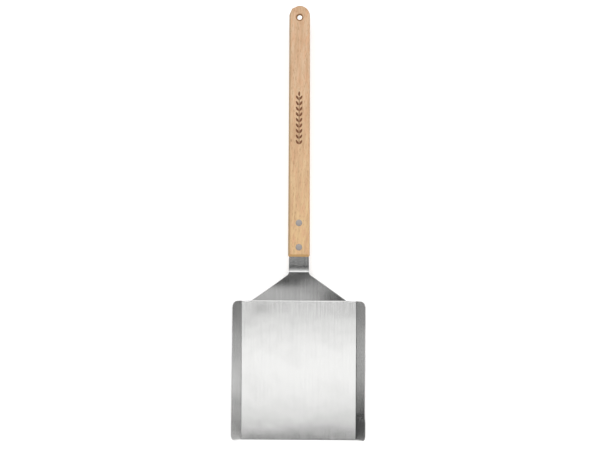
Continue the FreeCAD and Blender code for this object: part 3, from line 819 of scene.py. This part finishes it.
# The shank hangs from the seat
half_shank = add_node(rivets, "ShaderNodeMath", [given["Shank Length"], 2.0], operation="DIVIDE")
shank_radius = add_node(rivets, "ShaderNodeMath", [given["Shank Diameter"], 2.0], operation="DIVIDE")
shank_level = add_node(rivets, "ShaderNodeMath", [given["Seat"], half_shank], operation="SUBTRACT")
rod = add_node(rivets, "GeometryNodeMeshCylinder", {
    "Vertices": 32, "Radius": shank_radius, "Depth": given["Shank Length"],
})
shank = add_node(rivets, "GeometryNodeTransform", {
    "Geometry": rod, "Translation": add_node(rivets, "ShaderNodeCombineXYZ", {"Z": shank_level}),
})
rivet = add_node(rivets, "GeometryNodeJoinGeometry")
rivets.links.new(head.outputs[0], rivet.inputs[0])
rivets.links.new(shank.outputs[0], rivet.inputs[0])

row = add_node(rivets, "GeometryNodeMeshLine", {
    "Count": 2,
    "Start Location": add_node(rivets, "ShaderNodeCombineXYZ", {"Y": given["First"]}),
    "Offset": add_node(rivets, "ShaderNodeCombineXYZ", {"Y": given["Spacing"]}),
})
pair = add_node(rivets, "GeometryNodeInstanceOnPoints", {"Points": row, "Instance": rivet})
laid = add_node(rivets, "GeometryNodeTransform", {
    "Geometry": pair,
    "Translation": given["Mouth"],
    "Rotation": add_node(rivets, "ShaderNodeCombineXYZ", {"X": given["Tilt"]}),
})
real = add_node(rivets, "GeometryNodeRealizeInstances", [laid])
clad = add_node(rivets, "GeometryNodeSetMaterial", {"Geometry": real, "Material": given["Material"]})
add_node(rivets, "NodeGroupOutput", [clad])

# Stainless steel turned on a lathe and tumbled: a soft grey sheen, slightly mottled.
rivet_steel, tree, shader = new_material("turned_stainless")
shader.inputs["Metallic"].default_value = 1
shader.inputs["Roughness"].default_value = 0.5
specks = add_node(tree, "ShaderNodeTexNoise", {
    "Vector": add_node(tree, "ShaderNodeTexCoord").outputs["Object"], "Scale": 1 / 0.9 / MM, "Detail": 2.0,
}).outputs["Fac"]
mottled = add_node(tree, "ShaderNodeMix", {
    0: specks, 6: colour("#8A8583"), 7: colour("#9A9592"),
}, data_type="RGBA").outputs[2]
tree.links.new(mottled, shader.inputs["Base Color"])
grit = add_node(tree, "ShaderNodeBump", {"Height": specks, "Strength": 0.3, "Distance": 0.05 * MM})
tree.links.new(grit.outputs["Normal"], shader.inputs["Normal"])

for name, nodes, turn, shank_width in (
    ("rivet_tubes", ("front_rivet_female", "rear_rivet_female"), 0.0, tube_width),
    ("rivet_pins", ("front_rivet_male", "rear_rivet_male"), math.pi, pin_width),
):
    draft = draft_object(name, bmesh.new())
    insets = rivet_insets if not turn else tuple(-inset for inset in rivet_insets)
    add_tree(draft, rivets, {
        "Head Diameter": 2 * seat_half,
        "Head Thickness": seat_depth,
        "Crown": rivet_crown,
        "Shank Diameter": shank_width,
        "Shank Length": rivet_shank,
        "Seat": thick / 2 - seat_depth,
        "Face": thick / 2,
        "First": insets[0],
        "Spacing": insets[1] - insets[0],
        "Mouth": mouth,
        "Tilt": handle_angle + turn,
        "Material": rivet_steel,
    })
    piece = finished(draft, name, 40)
    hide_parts(*nodes)
    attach(piece, "root")

# ---- Studio --------------------------------------------------------------------------------
# A pale table top, softboxes overhead, in front, behind and at both sides, which the brushed
# steel mirrors as light and dark bands, and a camera almost straight above.

overhead_height, overhead_width = 3.5, 3.0
panel_out, panel_height = 0.9, 0.26
camera_height, camera_aside = 1.6, 0.027

table_mesh = bmesh.new()
bmesh.ops.create_grid(table_mesh, x_segments=1, y_segments=1, size=5,
                      matrix=Matrix.Translation((0, 0, -0.3 * MM)))
white, tree, shader = new_material("pale_table")
shader.inputs["Base Color"].default_value = colour("#EDEDED")
shader.inputs["Roughness"].default_value = 0.9
shader.inputs["Emission Color"].default_value = colour("#FFFFFF")
shader.inputs["Emission Strength"].default_value = 0.35
table = draft_object("table", table_mesh, white)
table.name = "table"
table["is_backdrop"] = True


def softbox(name, centre, aim, size, strength):
    """A rectangular lamp of even brightness that only reflections and surfaces see."""
    lamp = bpy.data.lights.new(name, "AREA")
    lamp.shape = "RECTANGLE"
    lamp.size, lamp.size_y = size
    lamp.energy = strength * math.pi * size[0] * size[1]
    made = bpy.data.objects.new(name, lamp)
    made.location = centre
    facing = Vector(aim) - Vector(centre)
    made.rotation_euler = facing.to_track_quat("-Z", "Y").to_euler()
    made.visible_camera = False
    scene.collection.objects.link(made)


# Overhead, in strips from front to back: what the pan mirrors
for name, near, far, strength in (
    ("overhead_edge", -0.595, -0.48, 1.45),
    ("overhead_key", -0.48, -0.20, 1.70),
    ("overhead_back", -0.20, 0.10, 0.65),
    ("overhead_fill", 0.10, 1.80, 4.6),
):
    middle = (near + far) / 2
    softbox(name, (0, middle, overhead_height), (0, middle, 0), (overhead_width, far - near), strength)

# In front, by the angle from straight above: what the bends and the neck mirror
for name, top, bottom, width, distance, strength in (
    ("front_high", 15.4, 37, 3.0, 2.6, 1.3),
    ("front_key", 37, 50, 3.0, 2.6, 1.8),
    ("front_low", 50, 62, 3.0, 2.6, 0.42),
    ("front_foot", 67, 80, 2.4, 2.4, 0.69),
):
    angle = math.radians((top + bottom) / 2)
    tall = 2 * distance * math.tan(math.radians((bottom - top) / 2))
    centre = (0, -distance * math.sin(angle), distance * math.cos(angle))
    softbox(name, centre, (0, 0, 0), (width, tall), strength)

# Low panels at both sides, from back to front: each is mirrored by the flange on the other side
for name, side, near, far, strength in (
    ("left_panel_back", -1, -0.02, 0.30, 0.45),
    ("left_panel_middle", -1, -0.09, -0.02, 0.78),
    ("left_panel_front", -1, -0.14, -0.09, 0.71),
    ("right_panel_back", 1, -0.02, 0.30, 0.13),
    ("right_panel_middle", 1, -0.09, -0.02, 0.60),
    ("right_panel_front", 1, -0.14, -0.09, 1.2),
    ("right_panel_low", 1, -0.19, -0.14, 0.78),
    ("right_panel_far", 1, -0.50, -0.23, 1.35),
):
    middle = (near + far) / 2
    level = panel_height / 2
    softbox(name, (panel_out * side, middle, level), (0, middle, level), (far - near, panel_height), strength)

# Wide, dimmer ones all round: what the sides and the wood see
softbox("right_flank", (2.28, 0, 1.26), (0, 0, 0), (2.5, 1.0), 0.7)
softbox("rear_panel", (0, 2.4, 1.6), (0, 0, 1.6), (4.0, 3.1), 0.45)
for name, x, y, strength in (
    ("corner_rear_right", 1.7, 1.7, 0.6),
    ("corner_rear_left", -1.7, 1.7, 0.6),
    ("corner_front_right", 1.9, -1.4, 0.5),
    ("corner_front_left", -1.9, -1.4, 0.5),
):
    softbox(name, (x, y, 0.95), (0, 0, 0), (1.5, 1.5), strength)

world = bpy.data.worlds.new("studio")
world.use_nodes = True
tree = world.node_tree
tree.nodes.clear()
dim = add_node(tree, "ShaderNodeBackground", {"Color": colour("#FFFFFF"), "Strength": 0.05})
pale = add_node(tree, "ShaderNodeBackground", {"Color": colour("#F4F4F4"), "Strength": 1.0})
seen = add_node(tree, "ShaderNodeMixShader", {
    0: add_node(tree, "ShaderNodeLightPath").outputs["Is Camera Ray"],
    1: dim.outputs[0],
    2: pale.outputs[0],
})
add_node(tree, "ShaderNodeOutputWorld", {"Surface": seen.outputs[0]})
scene.world = world
scene.view_settings.view_transform = "Standard"

lens = bpy.data.cameras.new("camera")
lens.sensor_width = 36
lens.lens = 85.11
camera = bpy.data.objects.new("camera", lens)
camera.location = (0.0276, 0.1642, camera_height)
camera.rotation_euler = (0, math.atan2(camera_aside, camera_height), math.radians(0.3))
scene.collection.objects.link(camera)
scene.camera = camera

low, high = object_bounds()
